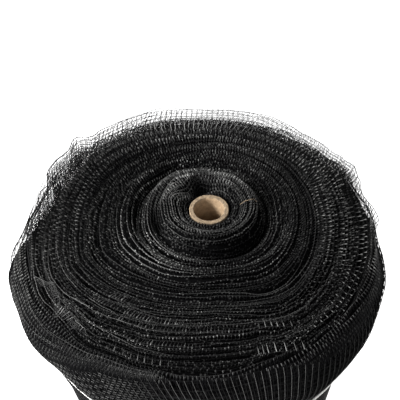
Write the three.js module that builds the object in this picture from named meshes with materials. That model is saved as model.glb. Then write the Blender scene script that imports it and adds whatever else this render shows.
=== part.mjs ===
// A roll of black knitted pond netting, standing on its end.
// The net is wound on a cardboard core and a white cord is tied round it below the upper end.
// Millimetres, +Z up, origin on the floor under the middle of the roll.
import * as THREE from 'three';
import { mergeVertices } from 'three/addons/utils/BufferGeometryUtils.js';

// Cardboard core: the usual 38 mm bore, set a little off the middle because the turns lie unevenly round it
const CORE_BORE_RADIUS = 19;
const CORE_WALL = 5.5;
const CORE_OUTER_RADIUS = CORE_BORE_RADIUS + CORE_WALL;
const CORE_LENGTH = 988;
const CORE_EDGE_BEVEL = 0.8;
const CORE_OFFSET = { x: 13, y: 6 };

// Clearance between pieces that touch
const FIT_GAP = 0.3;

// White cord round the roll, a little lower at one side, and the dent that it pulls into the net
const TIE_CORD_RADIUS = 1.6;
const TIE_CORD_SIDES = 8;
const TIE_DROP = 117;
const TIE_TILT = 18;
const TIE_LOWEST_AZIMUTH = THREE.MathUtils.degToRad(315);
const TIE_DENT_DEPTH = 1.5;
const TIE_DENT_HALF_WIDTH = 12;
const TIE_DRAWS_IN_FROM = 26;

// Slack folds that the tie gathers into the net above and below itself
const GATHERS = 15;
const GATHER_UNEVENNESS = 1.5;
const GATHER_DEPTH = 2.4;
const GATHER_FULL_AT = 40;
const GATHER_END = 230;

// Steps round the roll, and between rings of its upper end
const AZIMUTH_STEPS = 72;
const CORE_STEPS = 36;
const END_RING_STEP = 5.2;

// Upper end of the roll: height against the core's end at each radius from the winding's middle.
// The inner turns stand up as a hub, with a groove round them.
const END_PROFILE = [
  { place: 'beside the core', radius: CORE_OUTER_RADIUS + FIT_GAP, height: -3 },
  { place: 'inner turns', radius: 36, height: 3 },
  { place: 'hub crest', radius: 47, height: 10 },
  { place: 'hub edge', radius: 57, height: 10 },
  { place: 'groove', radius: 68, height: -11 },
  { place: 'groove, outer side', radius: 80, height: -7 },
  { place: 'middle turns', radius: 104, height: 2 },
  { place: 'outer turns', radius: 158, height: 1 },
  { place: 'inside the rim', radius: 190, height: -8 },
  { place: 'foot of the rim', radius: 205, height: -15 },
];

// Side of the roll from the shoulder down: radius at each drop below the core's end
const SIDE_PROFILE = [
  { place: 'shoulder', drop: 20, radius: 217 },
  { place: 'shoulder', drop: 33, radius: 224 },
  { place: 'bulge', drop: 47, radius: 231 },
  { place: 'bulge', drop: 60, radius: 232 },
  { place: 'drawn in to the tie', drop: 73, radius: 227.5 },
  { place: 'drawn in to the tie', drop: 92, radius: 222.5 },
  { place: 'at the tie', drop: 110, radius: 219.5 },
  { place: 'below the tie', drop: 165, radius: 213 },
  { place: 'below the tie', drop: 200, radius: 209 },
  { place: 'below the tie', drop: 250, radius: 207 },
  { place: 'middle', drop: 330, radius: 205 },
  { place: 'middle', drop: 460, radius: 203 },
  { place: 'middle', drop: 600, radius: 203 },
  { place: 'lower part', drop: 740, radius: 205 },
  { place: 'lower part', drop: 850, radius: 209 },
  { place: 'lower bulge', drop: 920, radius: 213 },
  { place: 'lower bulge', drop: 957, radius: 213 },
  { place: 'lower shoulder', drop: 978, radius: 209 },
];
const BASE_RADIUS = 202;

// Ruffled rim of the outermost wraps at each azimuth: its edge's height against the core's end, and radius
const RIM_THICKNESS = 3;
const RIM = [
  { azimuth: 0, edge: -3, radius: 213 },
  { azimuth: 10, edge: -10, radius: 213 },
  { azimuth: 20, edge: 2, radius: 224 },
  { azimuth: 32, edge: 0, radius: 214 },
  { azimuth: 48, edge: -1, radius: 209 },
  { azimuth: 68, edge: 0, radius: 212 },
  { azimuth: 90, edge: -2, radius: 211 },
  { azimuth: 112, edge: 1, radius: 215 },
  { azimuth: 128, edge: -2, radius: 215 },
  { azimuth: 141, edge: 4, radius: 220 },
  { azimuth: 152, edge: 3, radius: 217 },
  { azimuth: 172, edge: -3, radius: 209 },
  { azimuth: 192, edge: -6, radius: 212 },
  { azimuth: 225, edge: -10, radius: 212 },
  { azimuth: 270, edge: -8, radius: 208 },
  { azimuth: 300, edge: -9, radius: 209 },
  { azimuth: 330, edge: -7, radius: 212 },
];

// Where the outline swells past a true circle or draws in from it, most of it in the upper part of the roll
const SWELL_FADES_FROM = 180;
const SWELL_FADES_TO = 620;
const SWELL_LEFT_BELOW = 0.35;
const OUTLINE = [
  { azimuth: 0, swell: -4 },
  { azimuth: 45, swell: -2 },
  { azimuth: 90, swell: 1 },
  { azimuth: 125, swell: -3 },
  { azimuth: 155, swell: -4 },
  { azimuth: 172, swell: -4 },
  { azimuth: 181, swell: 0 },
  { azimuth: 189, swell: 6 },
  { azimuth: 206, swell: 8 },
  { azimuth: 222, swell: 3 },
  { azimuth: 270, swell: 2 },
  { azimuth: 312, swell: 5 },
  { azimuth: 324, swell: 1 },
  { azimuth: 336, swell: 4 },
  { azimuth: 348, swell: -4 },
];

// Slack net that hangs out between the bulge and the tie at each azimuth
const SLACK_FROM_DROP = 47;
const SLACK_BULGE_DROP = 60;
const SLACK = [
  { azimuth: 0, hang: 0 },
  { azimuth: 205, hang: 0 },
  { azimuth: 228, hang: 2 },
  { azimuth: 250, hang: 0 },
  { azimuth: 290, hang: 1 },
  { azimuth: 303, hang: 3.2 },
  { azimuth: 310, hang: 5.5 },
  { azimuth: 316, hang: 5.5 },
  { azimuth: 326, hang: 4 },
  { azimuth: 337, hang: 1 },
  { azimuth: 348, hang: 0 },
];

// Spiral bundles of turns on the upper end: each rises outwards and drops at its outer side
const BUNDLE_PITCH = 24;
const BUNDLE_RISE = 7;
const BUNDLE_CREST_SHARE = 0.7;
const BUNDLES_FROM_RADIUS = 74;
const BUNDLES_TO_RADIUS = 196;
const BUNDLE_FADE = 14;

// Slow sag and lift of the upper end round the roll
const END_WAVE_HEIGHT = 2.5;
const END_WAVES = 3;
const END_WAVE_FULL_AT = 120;

// Within the hub the turns are centred on the core, and on the roll's own middle at the rim
const CENTRED_ON_CORE_TO = 60;
const CENTRED_ON_ROLL_FROM = 200;

function smoothShare(from, to, value) {
  const share = THREE.MathUtils.clamp((value - from) / (to - from), 0, 1);
  return share * share * (3 - 2 * share);
}

// Value of a table's column between its rows, joined by straight lines
function alongTable(table, key, at, column) {
  let row = 1;
  while (row < table.length - 1 && table[row][key] < at) {
    row += 1;
  }
  const before = table[row - 1];
  const after = table[row];
  const share = THREE.MathUtils.clamp((at - before[key]) / (after[key] - before[key]), 0, 1);
  return THREE.MathUtils.lerp(before[column], after[column], share);
}

// Value of a column round the roll, easing from each row to the next and from the last to the first
function roundTable(table, azimuth, column) {
  const turn = THREE.MathUtils.euclideanModulo(THREE.MathUtils.radToDeg(azimuth), 360);
  const next = table.findIndex((row) => row.azimuth > turn);
  const after = next < 0 ? { ...table[0], azimuth: 360 } : table[next];
  const before = next < 0 ? table[table.length - 1] : table[next - 1];
  const share = smoothShare(before.azimuth, after.azimuth, turn);
  return THREE.MathUtils.lerp(before[column], after[column], share);
}

// Height of the bundles of turns, whose crests wind outwards by one pitch in each turn
function bundleHeight(radius, azimuth) {
  const phase = THREE.MathUtils.euclideanModulo(radius / BUNDLE_PITCH - azimuth / (2 * Math.PI), 1);
  const rising = phase / BUNDLE_CREST_SHARE;
  const falling = (1 - phase) / (1 - BUNDLE_CREST_SHARE);
  const inside = smoothShare(BUNDLES_FROM_RADIUS, BUNDLES_FROM_RADIUS + BUNDLE_FADE, radius);
  const outside = 1 - smoothShare(BUNDLES_TO_RADIUS - BUNDLE_FADE, BUNDLES_TO_RADIUS, radius);
  return BUNDLE_RISE * (Math.min(rising, falling) - 0.5) * inside * outside;
}

function endHeight(radius, azimuth) {
  const wave = END_WAVE_HEIGHT * Math.sin(END_WAVES * azimuth) * smoothShare(0, END_WAVE_FULL_AT, radius);
  return alongTable(END_PROFILE, 'radius', radius, 'height') + bundleHeight(radius, azimuth) + wave;
}

function tieDrop(azimuth) {
  return TIE_DROP + TIE_TILT * Math.cos(azimuth - TIE_LOWEST_AZIMUTH);
}

function gatherHeight(fromTie, azimuth) {
  const grows = smoothShare(0, GATHER_FULL_AT, fromTie);
  const fades = 1 - smoothShare(GATHER_FULL_AT, GATHER_END, fromTie);
  const fold = Math.sin(GATHERS * azimuth + GATHER_UNEVENNESS * Math.sin(2 * azimuth));
  return GATHER_DEPTH * grows * fades * fold;
}

function outlineSwell(drop, azimuth) {
  const fade = smoothShare(SWELL_FADES_FROM, SWELL_FADES_TO, drop);
  return roundTable(OUTLINE, azimuth, 'swell') * THREE.MathUtils.lerp(1, SWELL_LEFT_BELOW, fade);
}

// Drop at which the slack hangs out most, half way from the bulge to where the tie draws the net in
function slackDrop(azimuth) {
  return (SLACK_BULGE_DROP + tieDrop(azimuth) - TIE_DRAWS_IN_FROM) / 2;
}

function slackHang(drop, azimuth) {
  const most = slackDrop(azimuth);
  const grows = smoothShare(SLACK_FROM_DROP, most, drop);
  const fades = 1 - smoothShare(most, tieDrop(azimuth), drop);
  return roundTable(SLACK, azimuth, 'hang') * Math.min(grows, fades);
}

function sideRadius(drop, azimuth) {
  const fromTie = Math.abs(drop - tieDrop(azimuth));
  const dent = TIE_DENT_DEPTH * (1 - smoothShare(0, TIE_DENT_HALF_WIDTH, fromTie));
  const smooth = alongTable(SIDE_PROFILE, 'drop', drop, 'radius') + outlineSwell(drop, azimuth);
  return smooth - dent + gatherHeight(fromTie, azimuth) + slackHang(drop, azimuth);
}

// Middle of the turns at a radius
function turnCentre(radius) {
  const share = 1 - smoothShare(CENTRED_ON_CORE_TO, CENTRED_ON_ROLL_FROM, radius);
  return { x: CORE_OFFSET.x * share, y: CORE_OFFSET.y * share };
}

// Drops of the side's rings: level ones, apart from those in the slack and near the tie, which follow it
function sideDrops() {
  const levels = SIDE_PROFILE.map(({ drop }) => drop);
  const above = [-TIE_DRAWS_IN_FROM, -TIE_DENT_HALF_WIDTH, -TIE_CORD_RADIUS];
  const below = [TIE_CORD_RADIUS, TIE_DENT_HALF_WIDTH];
  const clear = TIE_TILT + TIE_DRAWS_IN_FROM;
  return [
    ...levels.filter((drop) => drop < TIE_DROP - clear).map((drop) => () => drop),
    slackDrop,
    ...[...above, ...below].map((offset) => (azimuth) => tieDrop(azimuth) + offset),
    ...levels.filter((drop) => drop > TIE_DROP + clear).map((drop) => () => drop),
  ];
}

// Rings of the wound net in order round its section: up the bore, out over the upper end, over the rim,
// down the side and in under the base. Each gives the radius, height and middle at an azimuth.
function rollRings() {
  const rings = [];
  const bore = CORE_OUTER_RADIUS + FIT_GAP;
  const endWidth = END_PROFILE[END_PROFILE.length - 1].radius - bore;
  const endRings = Math.round(endWidth / END_RING_STEP);
  rings.push(() => ({ radius: bore, height: 0, centre: CORE_OFFSET }));
  for (let ring = 0; ring <= endRings; ring += 1) {
    const radius = bore + (endWidth * ring) / endRings;
    const edge = ring / endRings;
    rings.push((azimuth) => ({
      radius: radius + edge * edge * (roundTable(RIM, azimuth, 'radius') - RIM[0].radius),
      height: CORE_LENGTH + endHeight(radius, azimuth),
      centre: turnCentre(radius),
    }));
  }
  for (const thickness of [RIM_THICKNESS, 0]) {
    rings.push((azimuth) => ({
      radius: roundTable(RIM, azimuth, 'radius') - thickness,
      height: CORE_LENGTH + roundTable(RIM, azimuth, 'edge'),
      centre: turnCentre(CENTRED_ON_ROLL_FROM),
    }));
  }
  for (const dropAt of sideDrops()) {
    rings.push((azimuth) => ({
      radius: sideRadius(dropAt(azimuth), azimuth),
      height: CORE_LENGTH - dropAt(azimuth),
      centre: turnCentre(CENTRED_ON_ROLL_FROM),
    }));
  }
  rings.push((azimuth) => ({
    radius: BASE_RADIUS + outlineSwell(CORE_LENGTH, azimuth),
    height: 0,
    centre: turnCentre(CENTRED_ON_ROLL_FROM),
  }));
  return rings;
}

// A closed lathe of numbered rings whose points are then set ring by ring.
// The rings go up the inner side and down the outer one, and the lathe takes them the other way round.
function latheOfRings(ringsInOrder, steps) {
  const rings = [...ringsInOrder].reverse();
  const section = rings.map((ring, index) => new THREE.Vector2(1, index));
  section.push(section[0].clone());
  const geometry = new THREE.LatheGeometry(section, steps);
  const position = geometry.attributes.position;
  const perColumn = section.length;
  for (let index = 0; index < position.count; index += 1) {
    const azimuth = (2 * Math.PI * (Math.floor(index / perColumn) % steps)) / steps;
    const { radius, height, centre } = rings[(index % perColumn) % rings.length](azimuth);
    position.setXYZ(
      index,
      centre.x + radius * Math.cos(azimuth),
      centre.y + radius * Math.sin(azimuth),
      height,
    );
  }
  geometry.deleteAttribute('normal');
  geometry.deleteAttribute('uv');
  const closed = mergeVertices(geometry);
  closed.computeVertexNormals();
  return closed;
}

function netRoll() {
  const material = new THREE.MeshStandardMaterial({ color: 0x17181a, roughness: 0.75, metalness: 0 });
  const mesh = new THREE.Mesh(latheOfRings(rollRings(), AZIMUTH_STEPS), material);
  mesh.name = 'net_roll';
  return mesh;
}

function coreTube() {
  const ring = (radius, height) => () => ({ radius, height, centre: CORE_OFFSET });
  const rings = [
    ring(CORE_BORE_RADIUS, 0),
    ring(CORE_BORE_RADIUS, CORE_LENGTH - CORE_EDGE_BEVEL),
    ring(CORE_BORE_RADIUS + CORE_EDGE_BEVEL, CORE_LENGTH),
    ring(CORE_OUTER_RADIUS - CORE_EDGE_BEVEL, CORE_LENGTH),
    ring(CORE_OUTER_RADIUS, CORE_LENGTH - CORE_EDGE_BEVEL),
    ring(CORE_OUTER_RADIUS, 0),
  ];
  const material = new THREE.MeshStandardMaterial({ color: 0xc7a678, roughness: 0.9, metalness: 0 });
  const mesh = new THREE.Mesh(latheOfRings(rings, CORE_STEPS), material);
  mesh.name = 'core_tube';
  return mesh;
}

function tieCord() {
  const rings = [];
  for (let side = 0; side < TIE_CORD_SIDES; side += 1) {
    const turn = -(2 * Math.PI * side) / TIE_CORD_SIDES;
    const outward = TIE_CORD_RADIUS * (1 + Math.cos(turn)) + FIT_GAP;
    const upward = TIE_CORD_RADIUS * Math.sin(turn);
    rings.push((azimuth) => ({
      radius: sideRadius(tieDrop(azimuth), azimuth) + outward,
      height: CORE_LENGTH - tieDrop(azimuth) + upward,
      centre: turnCentre(CENTRED_ON_ROLL_FROM),
    }));
  }
  const material = new THREE.MeshStandardMaterial({ color: 0xe9e7e0, roughness: 0.6, metalness: 0 });
  const mesh = new THREE.Mesh(latheOfRings(rings, AZIMUTH_STEPS), material);
  mesh.name = 'tie_cord';
  return mesh;
}

// The three pieces, with the middle of the whole outline over the origin
const roll = new THREE.Group();
roll.add(netRoll(), coreTube(), tieCord());
const outline = new THREE.Box3().setFromObject(roll, true);
const middle = outline.getCenter(new THREE.Vector3());
roll.position.set(-middle.x, -middle.y, 0);
roll.updateMatrixWorld(true);

export default roll;
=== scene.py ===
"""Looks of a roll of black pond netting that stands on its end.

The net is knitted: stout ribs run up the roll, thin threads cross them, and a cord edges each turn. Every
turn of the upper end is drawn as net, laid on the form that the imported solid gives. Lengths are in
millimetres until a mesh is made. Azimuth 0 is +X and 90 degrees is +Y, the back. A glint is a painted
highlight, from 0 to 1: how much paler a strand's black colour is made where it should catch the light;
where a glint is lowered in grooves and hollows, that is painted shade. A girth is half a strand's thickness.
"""

import math

import bpy
import numpy as np
from mathutils import Matrix, Vector
from mathutils.bvhtree import BVHTree


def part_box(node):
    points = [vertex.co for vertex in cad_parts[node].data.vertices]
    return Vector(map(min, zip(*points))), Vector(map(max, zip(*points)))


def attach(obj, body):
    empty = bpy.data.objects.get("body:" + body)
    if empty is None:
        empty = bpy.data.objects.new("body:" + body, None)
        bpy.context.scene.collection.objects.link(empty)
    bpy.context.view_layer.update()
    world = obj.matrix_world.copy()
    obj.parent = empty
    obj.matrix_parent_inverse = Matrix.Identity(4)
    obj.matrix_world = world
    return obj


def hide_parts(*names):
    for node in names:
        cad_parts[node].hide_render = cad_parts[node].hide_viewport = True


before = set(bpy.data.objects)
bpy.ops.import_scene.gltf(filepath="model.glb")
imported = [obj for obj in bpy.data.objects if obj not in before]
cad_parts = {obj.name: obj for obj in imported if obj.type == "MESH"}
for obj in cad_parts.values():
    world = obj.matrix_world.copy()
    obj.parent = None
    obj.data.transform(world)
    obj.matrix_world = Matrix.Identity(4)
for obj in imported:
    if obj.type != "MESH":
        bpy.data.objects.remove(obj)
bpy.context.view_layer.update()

MM = 0.001
TURN = 2 * math.pi

# Driving sizes, the core's own read from the frame

core_low, core_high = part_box("core_tube")
CORE_AXIS = np.array([(core_low[0] + core_high[0]) / 2, (core_low[1] + core_high[1]) / 2]) / MM
CORE_END = core_high[2] / MM
CORE_OUTER_RADIUS = (core_high[0] - core_low[0]) / 2 / MM
CORE_WALL = 5.5
CORE_OFF_MIDDLE = np.array([13.0, 6.0])
ROLL_AXIS = CORE_AXIS - CORE_OFF_MIDDLE
# distance from one bundle of turns to the next, and the share of it where the crest lies
BUNDLE_PITCH = 24.0
BUNDLE_CREST = 0.7

# Sizes of the net

MESH_PITCH = 7.6
THREAD_GIRTH = 0.18
# share of a rib's glint that the thread at its tip has
EDGE_SHARE = 0.1
# glint of threads that catch no light
DULL = 0.02


# Smooth shares and random wandering

def smooth(start, end, value):
    """0 before start, 1 after end, eased between them."""
    share = np.clip((np.asarray(value, float) - start) / (end - start), 0.0, 1.0)
    return share * share * (3 - 2 * share)


def ranged(limits, share):
    """A value from its least, or its middle, and what a share adds to it."""
    least, added = limits
    return least + added * share


def plateau(start, full, fade, end, value):
    """0 before start, 1 from full to fade, 0 after end, eased between them."""
    return smooth(start, full, value) * (1 - smooth(fade, end, value))


def wander(position, spacing, seed):
    """Smooth random values between -1 and 1 along a length, with a knot every spacing."""
    share = np.asarray(position, float) / spacing
    knot = np.floor(share).astype(int)
    first = knot.min()
    values = np.random.default_rng(seed).uniform(-1, 1, knot.max() - first + 2)
    before = values[knot - first]
    after = values[knot - first + 1]
    return before + (after - before) * smooth(0, 1, share - knot)


def patches(radius, azimuth, ring_width, sectors, seed):
    """Smooth random values between -1 and 1 over the end, in patches that close up round the turn."""
    ring = np.asarray(radius, float) / ring_width
    sector = np.mod(np.asarray(azimuth, float) / TURN, 1.0) * sectors
    ring_knot = np.floor(ring).astype(int)
    sector_knot = np.floor(sector).astype(int) % sectors
    values = np.random.default_rng(seed).uniform(-1, 1, (ring_knot.max() + 2, sectors))
    up = smooth(0, 1, ring - ring_knot)
    along = smooth(0, 1, sector - np.floor(sector))
    after = (sector_knot + 1) % sectors
    low = values[ring_knot, sector_knot] * (1 - along) + values[ring_knot, after] * along
    high = values[ring_knot + 1, sector_knot] * (1 - along) + values[ring_knot + 1, after] * along
    return low * (1 - up) + high * up


def round_values(values, place):
    """Values given at even steps round the roll, eased at any place between two steps."""
    left = place.astype(int) % len(values)
    share = smooth(0, 1, place - np.floor(place))
    return values[left] * (1 - share) + values[(left + 1) % len(values)] * share


def closed_wander(count, knots, seed):
    """Smooth random values round the roll that end where they start."""
    values = np.random.default_rng(seed).uniform(-1, 1, knots)
    return round_values(values, np.arange(count) / (count - 1) * knots)


def waves(table, count, seed):
    """Smooth random waves round the roll: the table holds the size, the knots and the seed's step of each."""
    return sum(size * closed_wander(count, knots, seed + step) for size, knots, step in table)


def aside_of(azimuth, middle):
    """Degrees from a middle to an azimuth, the short way round."""
    return np.mod(np.degrees(azimuth) - middle + 180, 360) - 180


# The form of the roll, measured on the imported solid

END_RADII = np.arange(26.0, 204.1, 1.5)
SIDE_HEIGHTS = np.concatenate((np.arange(0.0, 800.0, 10.0), np.arange(800.0, 984.1, 2.5)))
FORM_SECTORS = 240
SECTOR_ANGLES = np.arange(FORM_SECTORS) * TURN / FORM_SECTORS
# where the measuring rays start: above the floor, and off the roll's axis
RAY_HEIGHT = 1200.0
RAY_RADIUS = 400.0


def turn_centre(radius):
    """Where a turn is centred: on the core inside, on the roll's own axis outside."""
    share = smooth(60, 200, radius)[..., None]
    return CORE_AXIS + (ROLL_AXIS - CORE_AXIS) * share


def on_end(radius, azimuth, height):
    """Points at a radius and azimuth about the turn's own centre."""
    radius, azimuth, height = np.broadcast_arrays(np.asarray(radius, float), azimuth, height)
    centre = turn_centre(radius)
    x = centre[..., 0] + radius * np.cos(azimuth)
    y = centre[..., 1] + radius * np.sin(azimuth)
    return np.stack((x, y, height), axis=-1)


def on_side(radius, azimuth, height):
    """Points at a radius and azimuth about the roll's axis."""
    radius, azimuth, height = np.broadcast_arrays(np.asarray(radius, float), azimuth, height)
    x = ROLL_AXIS[0] + radius * np.cos(azimuth)
    y = ROLL_AXIS[1] + radius * np.sin(azimuth)
    return np.stack((x, y, height), axis=-1)


def tree_of(node):
    """A search tree over a CAD node's faces."""
    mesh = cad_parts[node].data
    corners = [vertex.co for vertex in mesh.vertices]
    return BVHTree.FromPolygons(corners, [face.vertices for face in mesh.polygons])


def corners_of(node):
    """A CAD node's corners about the roll's axis: radius, azimuth and height."""
    corners = np.array([vertex.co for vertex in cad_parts[node].data.vertices]) / MM
    offset = corners[:, :2] - ROLL_AXIS
    azimuth = np.mod(np.arctan2(offset[:, 1], offset[:, 0]), TURN)
    return np.hypot(offset[:, 0], offset[:, 1]), azimuth, corners[:, 2]


def end_form(tree):
    """Height of the solid's upper end over a grid of radii and azimuths."""
    grid = np.zeros((len(END_RADII), FORM_SECTORS))
    down = Vector((0, 0, -1))
    points = on_end(END_RADII[:, None], SECTOR_ANGLES[None, :], RAY_HEIGHT) * MM
    for i in range(len(END_RADII)):
        for j in range(FORM_SECTORS):
            hit = tree.ray_cast(Vector(points[i, j]), down)[0]
            grid[i, j] = hit.z / MM
    return grid


def side_form(tree):
    """Radius of the solid's side over a grid of heights and azimuths."""
    grid = np.zeros((len(SIDE_HEIGHTS), FORM_SECTORS))
    for i, height in enumerate(SIDE_HEIGHTS):
        for j, azimuth in enumerate(SECTOR_ANGLES):
            inwards = Vector((-math.cos(azimuth), -math.sin(azimuth), 0))
            start = Vector(on_side(RAY_RADIUS, azimuth, max(height, 1.0)) * MM)
            distance = tree.ray_cast(start, inwards)[3]
            grid[i, j] = RAY_RADIUS - distance / MM
    return grid


def on_grid(grid, rows, row, azimuth):
    """A grid's value at any row and azimuth, by straight lines between its points."""
    place = np.interp(row, rows, np.arange(len(rows)))
    lower = np.minimum(place.astype(int), len(rows) - 2)
    up = place - lower
    sector = np.mod(np.asarray(azimuth, float) / TURN, 1.0) * FORM_SECTORS
    left = sector.astype(int) % FORM_SECTORS
    right = (left + 1) % FORM_SECTORS
    along = sector - np.floor(sector)
    low = grid[lower, left] * (1 - along) + grid[lower, right] * along
    high = grid[lower + 1, left] * (1 - along) + grid[lower + 1, right] * along
    return low * (1 - up) + high * up


roll_tree = tree_of("net_roll")
END_FORM = end_form(roll_tree)
SIDE_FORM = side_form(roll_tree)


def end_height(radius, azimuth):
    """Height of the end's form under a point."""
    return on_grid(END_FORM, END_RADII, radius, azimuth)


def side_radius(height, azimuth):
    """Radius of the side's form at a height."""
    return on_grid(SIDE_FORM, SIDE_HEIGHTS, height, azimuth)


# Materials

class Finish:
    """A material in the making: its Principled shader, and the nodes that feed it."""

    def __init__(self, name):
        self.material = bpy.data.materials.new(name)
        self.material.use_nodes = True
        self.tree = self.material.node_tree

    def feed(self, inputs, sources):
        """Gives each named or numbered input its constant, or the output that it is linked to."""
        for key, source in sources.items():
            if isinstance(source, bpy.types.NodeSocket):
                self.tree.links.new(source, inputs[key])
            else:
                inputs[key].default_value = source

    def shade(self, sources):
        """Feeds the shader."""
        self.feed(self.tree.nodes["Principled BSDF"].inputs, sources)

    def node(self, kind, output, sources, **settings):
        """One of the outputs of a new node."""
        made = self.tree.nodes.new(kind)
        for key, value in settings.items():
            setattr(made, key, value)
        self.feed(made.inputs, sources)
        return made.outputs[output]

    def place(self):
        """Where on the piece, in its own coordinates."""
        return self.node("ShaderNodeTexCoord", "Object", {})

    def noise(self, scale, detail, roughness):
        """Even noise over the piece."""
        sources = {"Vector": self.place(), "Scale": scale, "Detail": detail, "Roughness": roughness}
        return self.node("ShaderNodeTexNoise", "Fac", sources)

    def remap(self, value, low, high, to_low=0.0, to_high=1.0):
        """A value stretched from one range to another."""
        sources = {"Value": value, "From Min": low, "From Max": high, "To Min": to_low, "To Max": to_high}
        return self.node("ShaderNodeMapRange", "Result", sources)

    def calculate(self, operation, first, second):
        """The result of a calculation with two values."""
        return self.node("ShaderNodeMath", "Value", {0: first, 1: second}, operation=operation)

    def between(self, share, dark, pale, low=0.35, high=0.65):
        """A colour between two, by a share."""
        colour = self.node("ShaderNodeValToRGB", "Color", {"Fac": share})
        for element, position, tint in zip(colour.node.color_ramp.elements, (low, high), (dark, pale)):
            element.position = position
            element.color = (*tint, 1)
        return colour

    def bump(self, height, strength, distance):
        """Fine relief."""
        sources = {"Height": height, "Strength": strength, "Distance": distance}
        return self.node("ShaderNodeBump", "Normal", sources)


def yarn_material():
    """Black plastic yarn with painted highlights: the glint attribute pales its base colour where it should
    catch the light.
    """
    yarn = Finish("black_net_yarn")
    stitch = yarn.noise(420.0, 2.0, 0.55)
    twist = yarn.noise(1400.0, 2.0, 0.5)
    glint = yarn.node("ShaderNodeAttribute", "Fac", {}, attribute_name="glint")
    shine = yarn.calculate("MULTIPLY", glint, yarn.remap(stitch, 0.3, 0.7, 0.6, 1.0))
    # painted highlight: the base colour runs from the yarn's black to pale grey with the glint, and its own
    # specular is kept low
    yarn.shade({
        "Base Color": yarn.between(shine, (0.003, 0.003, 0.0034), (0.52, 0.52, 0.505), 0.0, 1.0),
        "Roughness": yarn.remap(stitch, 0.0, 1.0, 0.32, 0.5),
        "Specular IOR Level": 0.02,
        "Normal": yarn.bump(twist, 0.3, 0.0002),
    })
    return yarn.material


def packed_net_material():
    """Many layers of net pressed together, near black as painted shade of the depth: faint mesh round the side,
    painted highlights of deeper knots on the end.
    """
    net = Finish("packed_net_painted_shade")
    fine = net.noise(420.0, 4.0, 0.7)
    dark = net.between(fine, (0.001, 0.001, 0.0011), (0.005, 0.005, 0.0052))
    pale = net.between(fine, (0.003, 0.003, 0.0032), (0.012, 0.012, 0.012))
    cell = net.node("ShaderNodeAttribute", "Vector", {}, attribute_name="net_cell")
    mesh = {"Vector": cell, "Color1": dark, "Color2": dark, "Mortar": pale, "Scale": 1.0}
    mesh.update({"Mortar Size": 0.07, "Mortar Smooth": 0.4, "Brick Width": 1.0, "Row Height": 0.5})
    side = net.node("ShaderNodeTexBrick", "Color", mesh, offset=0.0, squash=1.0)
    # painted highlights: random pale dots where knots deeper down would catch the light
    knots = {"Vector": net.place(), "Scale": 240.0, "Randomness": 0.95}
    from_knot = net.node("ShaderNodeTexVoronoi", "Distance", knots)
    chance = net.node("ShaderNodeSeparateColor", "Red", {"Color": from_knot.node.outputs["Color"]})
    shine = net.calculate("MULTIPLY", net.remap(from_knot, 0.38, 0.12), net.calculate("POWER", chance, 2.0))
    end = net.between(shine, (0.002, 0.002, 0.0021), (0.05, 0.05, 0.049), 0.0, 1.0)
    height = net.node("ShaderNodeSeparateXYZ", "Z", {"Vector": net.place()})
    upper = net.remap(height, 0.945, 0.96)
    net.shade({
        "Base Color": net.node("ShaderNodeMix", 2, {0: upper, 6: side, 7: end}, data_type="RGBA"),
        "Roughness": 0.75,
        "Specular IOR Level": 0.0,
        "Normal": net.bump(fine, 0.8, 0.0012),
    })
    return net.material


def fibre_material(name, grain, dark, pale, roughness, relief=None):
    """Fibres in two colours: grain is their noise, and relief the strength and depth of its bump."""
    finish = Finish(name)
    fibre = finish.noise(*grain)
    finish.shade({"Base Color": finish.between(fibre, dark, pale), "Roughness": roughness})
    if relief:
        finish.shade({"Normal": finish.bump(fibre, *relief)})
    return finish.material


NET_YARN = yarn_material()
PACKED_NET = packed_net_material()
# tan cardboard wound in layers, a paler and smoother copy of it for the bore whose paler tone is painted light,
# and white twisted cord
TAN = ((0.11, 0.078, 0.05), (0.27, 0.2, 0.125))
PAINTED_LIGHT_TAN = ((0.2, 0.135, 0.078), (0.34, 0.24, 0.145))
WHITE = ((0.8, 0.79, 0.75), (0.94, 0.93, 0.91))
CARDBOARD = fibre_material("wound_cardboard", (300.0, 5.0, 0.7), *TAN, 0.85, (0.5, 0.0006))
PAINTED_LIGHT_BORE = fibre_material("core_bore_painted_light", (180.0, 4.0, 0.6), *PAINTED_LIGHT_TAN, 0.75)
TIE_YARN = fibre_material("white_tie_cord", (90.0, 3.0, 0.6), *WHITE, 0.6, (0.4, 0.0003))


# Strands swept along paths by Geometry Nodes

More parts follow.
